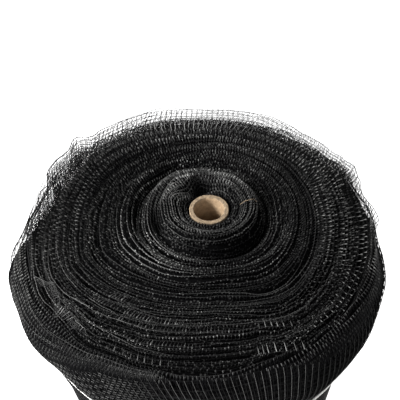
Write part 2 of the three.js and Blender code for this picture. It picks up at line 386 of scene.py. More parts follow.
def strand_tree():
    """Sweeps a round section along every path; the girth attribute is each point's radius."""
    tree = bpy.data.node_groups.new("strand_sweep", "GeometryNodeTree")
    sockets = {}
    for label, kind in (("Paths", "Geometry"), ("Sides", "Int"), ("Girth", "Float"), ("Finish", "Material")):
        made = tree.interface.new_socket(label, in_out="INPUT", socket_type="NodeSocket" + kind)
        sockets[label] = made.identifier
    tree.interface.new_socket("Strands", in_out="OUTPUT", socket_type="NodeSocketGeometry")
    add = tree.nodes.new
    link = tree.links.new
    given = add("NodeGroupInput")
    result = add("NodeGroupOutput")
    paths = add("GeometryNodeMeshToCurve")
    section = add("GeometryNodeCurvePrimitiveCircle")
    section.inputs["Radius"].default_value = 1.0
    thickness = add("GeometryNodeInputNamedAttribute")
    thickness.data_type = "FLOAT"
    thickness.inputs["Name"].default_value = "girth"
    scaled = add("ShaderNodeMath")
    scaled.operation = "MULTIPLY"
    sweep = add("GeometryNodeCurveToMesh")
    sweep.inputs["Fill Caps"].default_value = True
    realize = add("GeometryNodeRealizeInstances")
    finish = add("GeometryNodeSetMaterial")
    link(given.outputs["Paths"], paths.inputs["Mesh"])
    link(given.outputs["Sides"], section.inputs["Resolution"])
    link(thickness.outputs["Attribute"], scaled.inputs[0])
    link(given.outputs["Girth"], scaled.inputs[1])
    link(paths.outputs["Curve"], sweep.inputs["Curve"])
    link(section.outputs["Curve"], sweep.inputs["Profile Curve"])
    link(scaled.outputs["Value"], sweep.inputs["Scale"])
    link(sweep.outputs["Mesh"], realize.inputs["Geometry"])
    link(realize.outputs["Geometry"], finish.inputs["Geometry"])
    link(given.outputs["Finish"], finish.inputs["Material"])
    link(finish.outputs["Geometry"], result.inputs["Strands"])
    return tree, sockets


STRAND_TREE, STRAND_SOCKETS = strand_tree()


def linked(name, data):
    """A new object in the scene."""
    made = bpy.data.objects.new(name, data)
    bpy.context.scene.collection.objects.link(made)
    return made


def strands(name, paths, finish=NET_YARN, sides=3):
    """One piece of swept strands; each path holds lines by points by 3, their girth and their glint."""
    points = []
    edges = []
    girths = []
    glints = []
    count = 0
    for lines, girth, glint in paths:
        lines = np.asarray(lines, float)
        number, length = lines.shape[:2]
        index = count + np.arange(number * length).reshape(number, length)
        points.append(lines.reshape(-1, 3))
        edges.append(np.stack((index[:, :-1].ravel(), index[:, 1:].ravel()), axis=1))
        girths.append(np.broadcast_to(girth, (number, length)).ravel())
        glints.append(np.broadcast_to(glint, (number, length)).ravel())
        count += number * length
    points = np.concatenate(points) * MM
    edges = np.concatenate(edges)
    mesh = bpy.data.meshes.new(name + "_paths")
    mesh.vertices.add(len(points))
    mesh.vertices.foreach_set("co", points.ravel())
    mesh.edges.add(len(edges))
    mesh.edges.foreach_set("vertices", edges.astype(np.int32).ravel())
    mesh.attributes.new("girth", "FLOAT", "POINT").data.foreach_set("value", np.concatenate(girths) * MM)
    mesh.attributes.new("glint", "FLOAT", "POINT").data.foreach_set("value", np.concatenate(glints))
    carrier = linked(name + "_paths", mesh)
    modifier = carrier.modifiers.new("sweep", "NODES")
    modifier.node_group = STRAND_TREE
    modifier[STRAND_SOCKETS["Sides"]] = sides
    modifier[STRAND_SOCKETS["Girth"]] = 1.0
    modifier[STRAND_SOCKETS["Finish"]] = finish
    graph = bpy.context.evaluated_depsgraph_get()
    swept = bpy.data.meshes.new_from_object(carrier.evaluated_get(graph))
    bpy.data.objects.remove(carrier)
    swept.name = name
    piece = linked(name, swept)
    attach(piece, "root")
    return piece


def closed_mesh(name, points, finish):
    """A mesh over a grid of rings by sectors that closes up both ways, faces outwards."""
    rings, sectors = points.shape[:2]
    index = np.arange(rings * sectors).reshape(rings, sectors)
    after = np.roll(index, -1, axis=1)
    faces = np.stack((index, after, np.roll(after, -1, axis=0), np.roll(index, -1, axis=0)), axis=-1)
    mesh = bpy.data.meshes.new(name)
    mesh.from_pydata((points.reshape(-1, 3) * MM).tolist(), [], faces.reshape(-1, 4).tolist())
    mesh.materials.append(finish)
    mesh.polygons.foreach_set("use_smooth", np.ones(len(mesh.polygons), bool))
    return linked(name, mesh)


# Relief of the upper end that is finer than the solid

# azimuth and radius of the middle, half width along and across the turns, height
END_RELIEF = (
    (128, 73, 38, 6.5, 15),
    (131, 56, 30, 6, 5),
    (135, 65, 26, 3.5, -6),
    (108, 37, 30, 8, -14),
    (193, 63, 14, 6, -12),
    (150, 89, 50, 6, -8),
    (316, 70, 50, 9, -8),
    (222, 90, 30, 17, 5),
    (262, 27, 75, 7, 5),
)
# the same for how much more or less the turns shine: painted highlight where above 0, painted shade where below
TURN_SHINE = (
    (140, 72, 34, 9, 0.9),
    (135, 56, 34, 7, 0.9),
    (85, 55, 45, 18, 0.25),
    (118, 73, 16, 8, -0.6),
    (100, 58, 15, 9, -0.8),
    (175, 55, 30, 16, 0.4),
    (135, 65, 26, 3.0, -1.6),
    (203, 45, 50, 12, 2.3),
    (0, 48, 80, 14, 0.22),
    (216, 88, 34, 24, 1.4),
    (228, 90, 16, 14, 1.2),
    (258, 168, 16, 10, 0.5),
    (0, 86, 45, 16, -0.3),
    (205, 125, 45, 25, 0.4),
    (218, 185, 26, 26, 0.7),
    (310, 68, 50, 12, -0.5),
    (90, 108, 50, 16, 0.3),
    (106, 34, 26, 9, -1.1),
    (146, 27, 24, 4, -1.2),
    (146, 38, 18, 6, 1.2),
    (190, 65, 17, 8, -1.8),
    (215, 60, 20, 7, -0.5),
    (275, 120, 50, 35, -0.36),
    (275, 170, 45, 30, -0.16),
    (165, 150, 40, 40, -0.27),
    (20, 165, 40, 25, 0.3),
    (262, 63, 50, 6, -0.35),
)
# the same for how much the edges of the turns show as smooth arcs of painted highlight
TURN_ARCS = (
    (217, 92, 42, 28, 0.34),
    (10, 112, 55, 30, 0.15),
    (342, 82, 26, 8, 0.22),
    (190, 48, 70, 14, 0.2),
    (0, 50, 80, 12, 0.12),
    (132, 70, 36, 9, 0.35),
    (131, 55, 34, 7, 0.2),
    (146, 45, 22, 11, 0.45),
    (222, 175, 30, 30, 0.25),
    (275, 150, 40, 40, 0.12),
    (310, 150, 30, 40, 0.12),
)
# the same for how far the turns of the hub are pushed aside: straight beside the core, cornered at the ends
TURNS_ASIDE = (
    (134, 44, 17, 16, -5.0),
    (104, 46, 11, 16, 5.0),
    (167, 46, 12, 16, 3.0),
)
# the same for where every third turn is laid over, so that its ribs show as strokes
LAID_TURNS = (
    (257, 168, 24, 16, 1.0),
    (232, 150, 10, 20, 0.6),
    (95, 60, 60, 15, 0.9),
)
# the same for where single knots show painted highlights in even steps, as on a flat net
EVEN_KNOTS = (
    (165, 150, 45, 45, 1.0),
    (15, 150, 50, 45, 0.9),
)


def spots(table, radius, azimuth):
    """Sum of soft spots; the table holds the middle, the half widths and the strength of each."""
    total = 0.0
    for middle, ring, along, across, strength in table:
        aside = aside_of(azimuth, middle) / along
        total = total + strength * np.exp(-(aside ** 2) - ((radius - ring) / across) ** 2)
    return total


def tip_level(radius, azimuth):
    """Height that the tips of the turns reach."""
    return end_height(radius, azimuth) + spots(END_RELIEF, radius, azimuth)


def along_table(table, value):
    """A table's value by straight lines between its rows."""
    rows = np.array(table, float)
    return np.interp(value, rows[:, 0], rows[:, 1])


def round_table(table, azimuth):
    """A table's value at an azimuth in degrees, the last row leading back to the first."""
    rows = np.array(table, float)
    return np.interp(np.degrees(azimuth), rows[:, 0], rows[:, 1], period=360.0)


# Where the outer wraps stand out from the solid

# azimuth and height of the middle, half width and half height, and how far out
SIDE_BUMPS = ((189, 956, 7, 22, 11), (350, 950, 8, 22, 2.5))


# The wound mass under the strands: a near-black sheet, painted shade of the depth between them

MASS_SECTORS = 160
# meshes that its pattern shows round the side
MASS_CELLS = 176
# radius, and depth of the mass under the tips of the turns
MASS_DEPTH = ((26, 4), (64, 5), (100, 6), (150, 8), (175, 13), (203, 19))
SIDE_DEPTH = 0.6
# azimuth, and how much deeper the rim of the mass lies there, under free layers
RIM_CUT = (
    (2, 2), (6, 10), (9, 10), (14, 0), (115, 0), (138, 8), (154, 20), (166, 20), (180, 11), (187, 3),
    (193, 0), (350, 0),
)
# azimuth, and how much deeper the side of the mass lies there near the top
SHOULDER_CUT = (
    (2, 1), (6, 4), (9, 4), (14, 0), (130, 0), (150, 15), (165, 17), (180, 8), (187, 2), (192, 0), (350, 0),
)
# radii of the rings on the end, and heights of the rings on the side
MASS_INSIDE = CORE_OUTER_RADIUS + 0.3
MASS_RADII = np.arange(MASS_INSIDE, 201.0, 2.4)
MASS_TOP = 942.0
MASS_HEIGHTS = np.concatenate((np.arange(MASS_TOP, 830.0, -6.0), np.arange(830.0, -1.0, -30.0)))
# share of the way and height of two rings under the rim, and where round the roll they fill it out
RIM_RINGS = ((0.35, 966.0), (0.7, 954.0))
RIM_FILL = ((176, 0), (184, 0.8), (200, 0.8), (214, 0))
# share of a bump of the wraps that the mass fills
MASS_IN_BUMP = 0.7


def mass_side(azimuth, height, cut):
    """A ring of the mass on the side."""
    bump = MASS_IN_BUMP * spots(SIDE_BUMPS, height, azimuth)
    return on_side(side_radius(height, azimuth) + bump - cut, azimuth, height)


def wound_mass():
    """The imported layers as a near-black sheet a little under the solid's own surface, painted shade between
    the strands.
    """
    azimuth = np.arange(MASS_SECTORS) * TURN / MASS_SECTORS
    rings = []
    for radius in MASS_RADII:
        cut = round_table(RIM_CUT, azimuth) * smooth(175, 200, radius)
        height = tip_level(radius, azimuth) - along_table(MASS_DEPTH, radius) - cut
        rings.append(on_end(radius, azimuth, height))
    shoulder = round_table(SHOULDER_CUT, azimuth)
    inner = rings[-1]
    below = on_side(side_radius(MASS_TOP, azimuth) - SIDE_DEPTH - shoulder, azimuth, MASS_TOP)
    for share, height in RIM_RINGS:
        plain = inner + share * (below - inner)
        filled = mass_side(azimuth, height, 2 * SIDE_DEPTH)
        rings.append(plain + round_table(RIM_FILL, azimuth)[:, None] * (filled - plain))
    for height in MASS_HEIGHTS:
        rings.append(mass_side(azimuth, height, SIDE_DEPTH + shoulder * smooth(885, 920, height)))
    rings.append(on_end(MASS_INSIDE, azimuth, 0.0))
    points = np.array(rings)[::-1]
    piece = closed_mesh("wound_mass", points, PACKED_NET)
    steps = np.linalg.norm(np.diff(points, axis=0), axis=-1).mean(axis=1)
    down = np.concatenate(([0.0], np.cumsum(steps))) / MESH_PITCH
    around = np.arange(MASS_SECTORS + 1) * MASS_CELLS / MASS_SECTORS
    cells = []
    for ring in range(len(points)):
        after = (ring + 1) % len(points)
        for sector in range(MASS_SECTORS):
            left, right = around[sector], around[sector + 1]
            cells += [left, down[ring], 0, right, down[ring], 0, right, down[after], 0, left, down[after], 0]
    piece.data.attributes.new("net_cell", "FLOAT_VECTOR", "CORNER").data.foreach_set("vector", cells)
    return piece


mass = wound_mass()
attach(mass, "root")
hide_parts("net_roll")


# Rim of the solid

LIP_SECTORS = 72
# which corners of the solid count: outside a radius, near to an azimuth, not far under the core's end
LIP_INSIDE = 198.0
LIP_REACH = TURN / 150
LIP_DEPTH = 30.0


def lip_form():
    """Radius and height of the solid's rim edge at each azimuth."""
    radius, azimuth, height = corners_of("net_roll")
    edge_radius = np.zeros(LIP_SECTORS)
    edge_height = np.zeros(LIP_SECTORS)
    for sector in range(LIP_SECTORS):
        gap = np.abs(np.mod(azimuth - sector * TURN / LIP_SECTORS + math.pi, TURN) - math.pi)
        near = (radius > LIP_INSIDE) & (gap < LIP_REACH) & (height > CORE_END - LIP_DEPTH)
        highest = np.argmax(np.where(near, height, 0.0))
        edge_radius[sector] = radius[highest]
        edge_height[sector] = height[highest]
    return edge_radius, edge_height


LIP_RADIUS, LIP_HEIGHT = lip_form()


def round_the_lip(values, azimuth):
    """A value given at even steps of azimuth, at any azimuth."""
    return round_values(values, np.mod(azimuth / TURN, 1.0) * LIP_SECTORS)


# Turns of net on the upper end

# radius, and how far apart the turns lie there
TURN_PITCH = ((26, 2.8), (60, 3.0), (72, 3.3), (150, 3.3), (205, 3.3))
# radius, and how many degrees the ribs lean out there
TURN_LEAN = ((26, 0), (45, 10), (58, 22), (66, 8), (90, 20), (150, 32), (205, 40))
# points of a rib below its tip, with their girth and their share of its glint, also where a turn is laid over:
# painted highlight at the tip, painted shade lower down
TURN_DROPS = np.array([0.0, 1.6, 3.2, 7.6])
TURN_GIRTH = np.array([0.75, 0.85, 0.3, 0.45])
TURN_FADE = np.array([1.0, 0.9, 0.2, 0.22])
LAID_FADE = np.array([1.6, 1.5, 1.3, 0.6])
LAID_LEAN = 80.0
# how far the hub reaches, the even glint of its ribs, and how much the edges of its turns show
HUB_RADIUS = 80.0
HUB_GLINT = 0.26
HUB_ARCS = 0.22
OUTERMOST_TURN = 203.0
# least glint of a knot and what chance adds: to any knot, to a counted one, and to the ones between
KNOT_GLINT = (0.1, 0.25)
COUNTED_GLINT = (0.55, 0.3)
UNCOUNTED_GLINT = (0.06, 0.2)
# what the few brightest knots have on top, and how much more even the hub is
BRIGHTEST = 0.5
HUB_EVEN = 0.5
# what a stretch of the spiral multiplies a glint by, and the least and the most that a place of the end does
STRETCH_GLINT = (0.25, 0.85)
PLACE_GLINT = (0.05, 2.8)
# how much stouter an edge is where it shows, and the glint of the threads under it
ARC_GIRTH = 0.2
LOWER_GLINT = 0.05
# glint of the end as a whole, how patchy it is, and how much darker the grooves and the outer turns are, as
# painted shade
END_GLINT = 0.62
GLINT_PATCHES = 0.3
GROOVE_SHADE = 0.45
OUTER_SHADE = 0.25
# azimuth, and how far inside the rim the outermost turn lies there
RIM_STAND_IN = ((0, 7), (30, 4), (90, 5), (118, 9), (138, 14), (154, 25), (167, 28), (178, 13), (200, 8))
SPIRAL_SEED = 100
# where the spiral starts, the steps of radius that it is worked out in, and the distance between its ribs
SPIRAL_START = math.radians(110)
SPIRAL_STEP = 0.05
RIB_PITCH = 3.8
CLEAR_OF_CORE = 1.2
# how far the turns sway: in bundles, along the spiral, in patches of the end, and in the hub
BUNDLE_SWAY = 2.4
SPIRAL_SWAY = 1.2
PATCH_SWAY = 3.0
HUB_SWAY = 0.5
# how unevenly the ribs lean, in degrees along the spiral and in patches of the end
LEAN_SWAY = 12
LEAN_PATCHES = 14
# how much less the turns lean and gather in front
FRONT_UPRIGHT = 0.85
FRONT_LOOSE = 0.45
# how high the edge of a turn lies over the end's form, how unevenly, and how uneven the ribs' tips are
EDGE_LIFT = 0.4
EDGE_RISE = 1.5
LAID_RISE = 2.2
TIP_RISE = 1.1
# how loose the tips are, how far the edge reaches out of a leaning turn, and how far ribs stray along it
TIP_LOOSE = (0.3, 1.3)
EDGE_REACH = 4.0
RIB_STRAY = 0.8
# azimuth, and how far the outer turns stand out there from true circles: the roll is squarer in front
TURNS_OUT = (
    (0, 0), (120, 0), (185, 8), (206, 14), (222, 7), (235, 1), (262, -4), (275, -5), (288, 2),
    (300, 12), (309, 14), (322, 9), (340, 2),
)


def turn_walk():
    """Length walked, radius and turns made at every rib along the one long spiral of net."""
    radius = np.arange(CORE_OUTER_RADIUS + 1.5, OUTERMOST_TURN, SPIRAL_STEP)
    turns = np.concatenate(([0.0], np.cumsum(SPIRAL_STEP / along_table(TURN_PITCH, radius[:-1]))))
    length = np.concatenate(([0.0], np.cumsum(TURN * radius[:-1] * np.diff(turns))))
    walked = np.arange(0.0, length[-1], RIB_PITCH)
    return walked, np.interp(walked, length, radius), np.interp(walked, length, turns)


def turn_radius(walked, radius, azimuth, phase, gather, seed):
    """Radius of each rib, where the turns lie in bundles, are pushed aside in the hub and follow the rim."""
    bundles = BUNDLE_SWAY * gather * np.sin(TURN * (phase - 0.05))
    place = radius - bundles + SPIRAL_SWAY * wander(walked, 70, seed + 1)
    place = place + PATCH_SWAY * gather * patches(radius, azimuth, 17, 9, seed + 6)
    place = place + spots(TURNS_ASIDE, radius, azimuth)
    place = place + HUB_SWAY * (1 - gather) * wander(walked, 34, seed + 9)
    squarer = plateau(80, 150, 165, OUTERMOST_TURN, radius)
    to_rim = round_the_lip(LIP_RADIUS, azimuth) - round_table(RIM_STAND_IN, azimuth) - OUTERMOST_TURN
    return place + round_table(TURNS_OUT, azimuth) * squarer + to_rim * smooth(150, OUTERMOST_TURN, radius)


def turn_points(seed):
    """The spiral's ribs, ribs by points by 3 from the tips down, its edge, and the ribs' radii and glints."""
    walked, radius, turns = turn_walk()
    azimuth = SPIRAL_START + TURN * turns
    chance = np.random.default_rng(seed)
    phase = radius / BUNDLE_PITCH - azimuth / TURN
    front = smooth(0.2, 0.8, -np.sin(azimuth)) * smooth(100, 140, radius)
    gather = smooth(66, 84, radius) * (1 - FRONT_LOOSE * front)
    loose = ranged(TIP_LOOSE, smooth(-0.3, 0.5, patches(radius, azimuth, 30, 8, seed + 7)))
    bundled = turn_radius(walked, radius, azimuth, phase, gather, seed)
    may_lie = (turns.astype(int) % 3 == 0) | (radius < HUB_RADIUS)
    laid = np.clip(1.5 * spots(LAID_TURNS, radius, azimuth), 0, 1) * may_lie
    lean = along_table(TURN_LEAN, radius) * (1 - FRONT_UPRIGHT * front)
    lean = lean + LEAN_SWAY * wander(walked, 90, seed + 2)
    lean = lean + LEAN_PATCHES * patches(radius, azimuth, 22, 14, 13)
    lean = np.radians(lean + (LAID_LEAN - lean) * laid)
    rise = EDGE_RISE * wander(walked, 45, seed + 3) + LAID_RISE * laid
    azimuth = azimuth + RIB_STRAY * wander(walked, 12, seed + 4) / radius
    inside = CORE_OUTER_RADIUS + CLEAR_OF_CORE
    edge_radius = np.maximum(bundled + EDGE_REACH * np.sin(lean), inside)
    edge = on_end(edge_radius, azimuth, tip_level(edge_radius, azimuth) + rise + EDGE_LIFT)
    tip_radius = np.maximum(edge_radius + loose * chance.uniform(-1, 1, len(walked)), inside)
    tip_height = tip_level(tip_radius, azimuth) + rise + TIP_RISE * chance.uniform(-1, 1, len(walked))
    lines = []
    for down in TURN_DROPS:
        line_radius = np.maximum(tip_radius - down * np.sin(lean), CORE_OUTER_RADIUS + 1.0)
        lines.append(on_end(line_radius, azimuth, tip_height - down * np.cos(lean)))
    glint, arcs = turn_glint(walked, radius, azimuth, turns, phase, seed + 5)
    shine = glint[:, None] * (TURN_FADE + laid[:, None] * (LAID_FADE - TURN_FADE))
    return np.stack(lines, axis=1), edge, radius, glint, shine, arcs


def turn_glint(walked, radius, azimuth, turns, phase, seed):
    """Painted highlight of each rib's tip, of which some shine far more than others, and of the turn's edge,
    with painted shade in the grooves and on the outer turns.
    """
    chance = np.random.default_rng(seed).uniform(0, 1, len(walked))
    bright = ranged(KNOT_GLINT, chance) + BRIGHTEST * smooth(0.6, 0.95, chance)
    even = np.clip(spots(EVEN_KNOTS, radius, azimuth), 0, 1)
    counted = (np.arange(len(walked)) % 2 == 0) & (turns.astype(int) % 2 == 0)
    stepped = np.where(counted, ranged(COUNTED_GLINT, chance), ranged(UNCOUNTED_GLINT, chance))
    bright = bright + (stepped - bright) * even
    hub = 1 - smooth(HUB_RADIUS - 18, HUB_RADIUS + 4, radius)
    bright = bright + (HUB_GLINT - bright) * HUB_EVEN * hub
    stretch = 0.5 + 0.5 * wander(walked, 80, seed + 1)
    spot = END_GLINT + GLINT_PATCHES * patches(radius, azimuth, 26, 12, seed + 2)
    spot = spot + spots(TURN_SHINE, radius, azimuth)
    groove = smooth(-0.3, 0.7, -np.cos(TURN * (phase - BUNDLE_CREST)))
    # painted shade: the grooves between bundles of turns are darkened
    crest = 1 - GROOVE_SHADE * smooth(74, 90, radius) * groove
    spot = np.clip(spot, *PLACE_GLINT) * crest * (1 - OUTER_SHADE * smooth(95, 115, radius))
    arcs = spots(TURN_ARCS, radius, azimuth) * crest * (0.5 + 0.5 * wander(walked, 190, seed + 3)) ** 1.2
    arcs = arcs + HUB_ARCS * hub * np.clip(wander(walked, 48, seed + 6), 0, 1) * np.minimum(spot, 1.4)
    return np.minimum(bright * ranged(STRETCH_GLINT, stretch) * spot, 1.0), arcs


def turns_piece(name, spiral, low, high):
    """Net of the spiral between two radii: its ribs, knotted at the tips, then its edge cord and threads."""
    lines, edge, radius, glint, shine, arcs = spiral
    keep = (radius >= low) & (radius < high)
    lines = lines[keep]
    glint = glint[keep]
    arcs = arcs[keep]
    strands(name + "_ribs", [(lines, TURN_GIRTH, shine[keep])])
    edge_girth = THREAD_GIRTH + ARC_GIRTH * smooth(0.05, 0.2, arcs)
    upper = (edge[None, keep], edge_girth[None, :], (EDGE_SHARE * glint + arcs)[None, :])
    lower = (lines[None, ::2, 3], THREAD_GIRTH, LOWER_GLINT)
    strands(name + "_threads", [upper, lower])


spiral = turn_points(SPIRAL_SEED)
for part, inside, outside in (("hub", 0, 64), ("middle", 64, 130), ("outer", 130, 210)):
    turns_piece(part, spiral, inside, outside)


# Rows of outer layers, whose tips climb over the rim and down the shoulder

ROW_PITCH = 6.4
RIM_ROWS = 10
SHOULDER_PITCH = 3.6
SHOULDER_ROWS = 18
ROW_RIBS = 153
# the path that the rows lie along: radii on the end, then the rim, then drops below the rim
PATH_RADII = (146, 158, 170, 182, 193)
PATH_DROPS = (8, 18, 30, 44, 60, 78, 98, 120, 145)
# the path's point on the rim, how far inside and under the edge it lies, and how far the rest stands off
LIP_POINT = len(PATH_RADII)
LIP_IN = 3.0
LIP_UNDER = 2.0
PATH_STAND_OFF = 0.6
# points of a rib below its tip, and their girth
ROW_STEPS = np.array([0.0, 1.6, 3.6, 6.4, 9.4, 12.5])
ROW_GIRTH = np.array([0.7, 0.75, 0.65, 0.55, 0.45, 0.35])
# azimuth, and how far below the rim the last row lies there, or inside it where the figure is below 0
LAST_ROW_DROP = (
    (0, 3), (12, 0), (25, -3), (90, -3), (120, -8), (138, -12), (154, -23), (167, -26), (175, -10),
    (181, 8), (188, 50), (205, 60), (222, 42), (240, 10), (270, 4), (288, 4), (299, 10), (310, 22),
    (330, 26), (346, 20),
)
# in front at the right the rows outside the rim are drawn in, most at this azimuth
DRAWN_IN_AT = 304.0
DRAWN_IN = 8.0
# azimuth, and lean of the rows on the end: beside they lie nearly flat
ROW_LEAN = (
    (0, 70), (50, 62), (90, 50), (130, 58), (180, 62), (215, 40), (245, 15), (270, 10), (300, 20), (330, 60),
)
LIFTED_LEAN = 82.0
# waves of the rows along the path, on the rim and on the shoulder, and of their lean in degrees and height
RIM_SWAY = ((2.2, 26, 0), (0.8, 95, 5))
SHOULDER_SWAY = ((3.4, 26, 0), (0.8, 95, 5))
ROW_LEAN_WAVES = ((10, 30, 2),)
ROW_RISE = ((1.4, 41, 1), (0.9, 95, 3))
# at the back every second row lies this much further out, and the others further in
ROW_PAIRING = 2.6
# how unevenly the ribs of a row are spaced, as a share, and how rare bright ribs are on the shoulder
ROW_CROWDING = 0.5
SHOULDER_RARITY = 3.0
# glint of a rib beyond its bright stroke, as a share taken off: painted shade below the painted highlight
STROKE_FADE = 0.95
# azimuth, and length of the stroke of painted highlight that a rib shows there
ROW_STROKE = ((0, 3.2), (50, 3), (90, 6), (125, 3), (165, 2), (225, 2), (270, 2.5), (320, 2.5))


def outer_path(azimuth):
    """Points from the outer turns over the rim and down the shoulder, and the length so far at each."""
    lip_radius = round_the_lip(LIP_RADIUS, azimuth)
    lip_height = round_the_lip(LIP_HEIGHT, azimuth)
    points = [on_end(radius, azimuth, tip_level(radius, azimuth)) for radius in PATH_RADII]
    points.append(on_side(lip_radius - LIP_IN, azimuth, lip_height - LIP_UNDER))
    for drop in PATH_DROPS:
        height = lip_height - drop
        points.append(on_side(side_radius(height, azimuth) + PATH_STAND_OFF, azimuth, height))
    points = np.array(points)
    steps = np.linalg.norm(np.diff(points, axis=0), axis=-1)
    return points, np.concatenate((np.zeros((1, len(azimuth))), np.cumsum(steps, axis=0)))


def along_path(points, lengths, at):
    """The path's points at a length for each azimuth."""
    place = np.empty((len(at), 3))
    for column in range(len(at)):
        for axis in range(3):
            place[column, axis] = np.interp(at[column], lengths[:, column], points[:, column, axis])
    return place


# A gap in the outer layers at the right, which light shows through
NOTCH_AZIMUTH = math.radians(9)
NOTCH_HALF_WIDTH = math.radians(4.5)
# the first row that has the gap
NOTCH_ROW = 6


def off_notch(azimuth):
    """How many of the gap's half widths an azimuth lies beside its middle."""
    return np.abs(np.mod(azimuth - NOTCH_AZIMUTH + math.pi, TURN) - math.pi) / NOTCH_HALF_WIDTH


def last_row(azimuth, lengths):
    """Length along the path to the last row, where the outermost wrap's edge lies over the others."""
    drops = np.concatenate(([0.0], PATH_DROPS))
    wanted = round_table(LAST_ROW_DROP, azimuth)
    outside = [np.interp(drop, drops, lengths[LIP_POINT:, k]) for k, drop in enumerate(wanted)]
    return np.array(outside) + np.minimum(wanted, 0.0)


# the left shoulder: first and last azimuth, and the length of the path that its rows fill where it is widest
SHOULDER_FROM = 178.0
SHOULDER_TO = 256.0
SHOULDER_SPAN = 64.0
NARROWEST_SPAN = 6.0


def run_together(at, azimuth, lengths):
    """On the left shoulder the rows draw closer as the shoulder narrows towards the front."""
    degrees = np.mod(np.degrees(azimuth), 360)
    left = plateau(SHOULDER_FROM - 6, SHOULDER_FROM + 6, SHOULDER_TO, SHOULDER_TO + 8, degrees)
    span = np.maximum(last_row(azimuth, lengths) - lengths[LIP_POINT], NARROWEST_SPAN)
    beyond = np.maximum(at - lengths[LIP_POINT], 0.0)
    return at - left * beyond * (1 - np.minimum(span / SHOULDER_SPAN, 1.0))


def row_points(number, azimuth, lift, swing):
    """Points of one layer, steps down its ribs by ribs by 3, and which ribs the outer wrap leaves bare."""
    count = len(azimuth)
    seed = 400 + 10 * number
    points, lengths = outer_path(azimuth)
    at = ROW_PITCH * (min(number, RIM_ROWS) + 0.5) + SHOULDER_PITCH * max(number - RIM_ROWS, 0)
    on_shoulder = number >= RIM_ROWS
    at = at + waves(SHOULDER_SWAY if on_shoulder else RIM_SWAY, count, seed)
    if on_shoulder:
        at = at - DRAWN_IN * smooth(0.88, 0.99, np.cos(azimuth - math.radians(DRAWN_IN_AT)))
    back = smooth(0.5, 0.9, np.sin(azimuth))
    at = at + ROW_PAIRING * back * (1 if number % 2 else -1)
    at = at + round_table(TURNS_OUT, azimuth) * (1 - smooth(20, 55, at)) + swing
    at = run_together(np.maximum(at, 0.5), azimuth, lengths)
    notch = (number >= NOTCH_ROW) & (off_notch(azimuth) < 1)
    bare = (at < last_row(azimuth, lengths)) & ~notch
    lifted = smooth(0, 2, lift)
    over = (smooth(-8, 8, at - lengths[LIP_POINT]) * (1 - lifted))[:, None]
    lean = round_table(ROW_LEAN, azimuth) + waves(ROW_LEAN_WAVES, count, seed)
    lean = np.radians(lean + (LIFTED_LEAN - lean) * lifted)
    tip = along_path(points, lengths, at)
    tip[:, 2] += (1.0 + waves(ROW_RISE, count, seed)) * (1 - over[:, 0]) + lift
    course = azimuth + 0.7 * (1.5 * math.pi - np.mod(azimuth, TURN)) * lifted
    across = np.sin(lean)
    inwards = np.stack((-across * np.cos(course), -across * np.sin(course), -np.cos(lean)), axis=-1)
    rows = []
    for step in ROW_STEPS:
        on_path = along_path(points, lengths, at + step)
        rows.append((1 - over) * (tip + step * inwards) + over * on_path)
    return np.array(rows), bare


# least glint of a rib and what chance adds, and the same for a stretch of ribs
RIB_GLINT = (0.3, 0.7)
RIBS_GLINT = (0.45, 0.55)


def uneven_glint(count, seed, rarity=1.0):
    """How much each rib of a layer shines, in stretches; the greater the rarity, the fewer shine."""
    chance = np.random.default_rng(seed).uniform(0, 1, count) ** rarity
    stretch = 0.5 + 0.5 * closed_wander(count, 24, seed + 1)
    return ranged(RIB_GLINT, chance) * ranged(RIBS_GLINT, stretch)


# azimuth, and how much the rows shine there, a painted highlight by how the light falls on that side
ROW_SHINE = (
    (0, 0.75), (30, 0.7), (60, 0.35), (90, 0.2), (125, 0.22), (150, 0.3), (180, 0.6), (193, 0.95),
    (205, 0.85), (218, 0.5), (232, 0.16), (250, 0.14), (265, 0.2), (285, 0.26), (300, 0.2),
    (325, 0.12), (340, 0.4),
)
# first and last row, first and last azimuth, shine, stroke, lift and swing, where ribs face the light: the
# shine and stroke are painted highlight
LIT_STRETCHES = (
    (4, 4, 289, 303, 0.7, 9, 3.5, 2),
    (9, 9, 285, 301, 0.6, 10, 3.0, 9),
    (9, 9, 240, 262, 0.35, 6, 2.0, 0),
    (0, 0, 55, 125, 0.55, 3.5, 0, 0),
    (2, 2, 55, 125, 0.45, 3, 0, 0),
    (4, 8, 335, 372, 0.55, 3.4, 0, 0),
    (9, 12, 335, 372, 0.8, 4, 0, 0),
    (7, 9, 304, 334, 0.5, 3, 1.2, 0),
    (10, 13, 298, 334, 0.26, 2, 0, 0),
)


def row_shine(number, azimuth):
    """How much painted highlight a row's ribs have, how long their strokes are, and how far they stand up and
    swing out.
    """
    shine = round_table(ROW_SHINE, azimuth)
    stroke = round_table(ROW_STROKE, azimuth)
    lift = np.zeros(len(azimuth))
    swing = np.zeros(len(azimuth))
    for first, last, low, high, strength, length, stand, out in LIT_STRETCHES:
        if first <= number <= last:
            half = (high - low) / 2
            aside = aside_of(azimuth, low + half)
            inside = 1 - smooth(half - 3, half + 3, np.abs(aside))
            shine = shine + (strength - shine) * inside
            stroke = stroke + (length - stroke) * inside
            lift = lift + stand * inside
            swing = swing + out * inside * np.clip(aside / half, -1, 1)
    return shine, stroke, lift, swing


def runs(chosen):
    """First and last index of each run of chosen places."""
    edges = np.flatnonzero(np.diff(np.concatenate(([0], chosen.astype(int), [0]))))
    return [(first, last) for first, last in zip(edges[::2], edges[1::2]) if last - first > 1]


# a stretch where the edges of rows show as lines of painted highlight: azimuth, cosines where it ends and where
# it is full, and glint
EDGE_STRETCHES = ((234, 0.6, 0.97, 0.24), (322, 0.5, 0.95, 0.1), (210, 0.93, 0.98, 0.16))


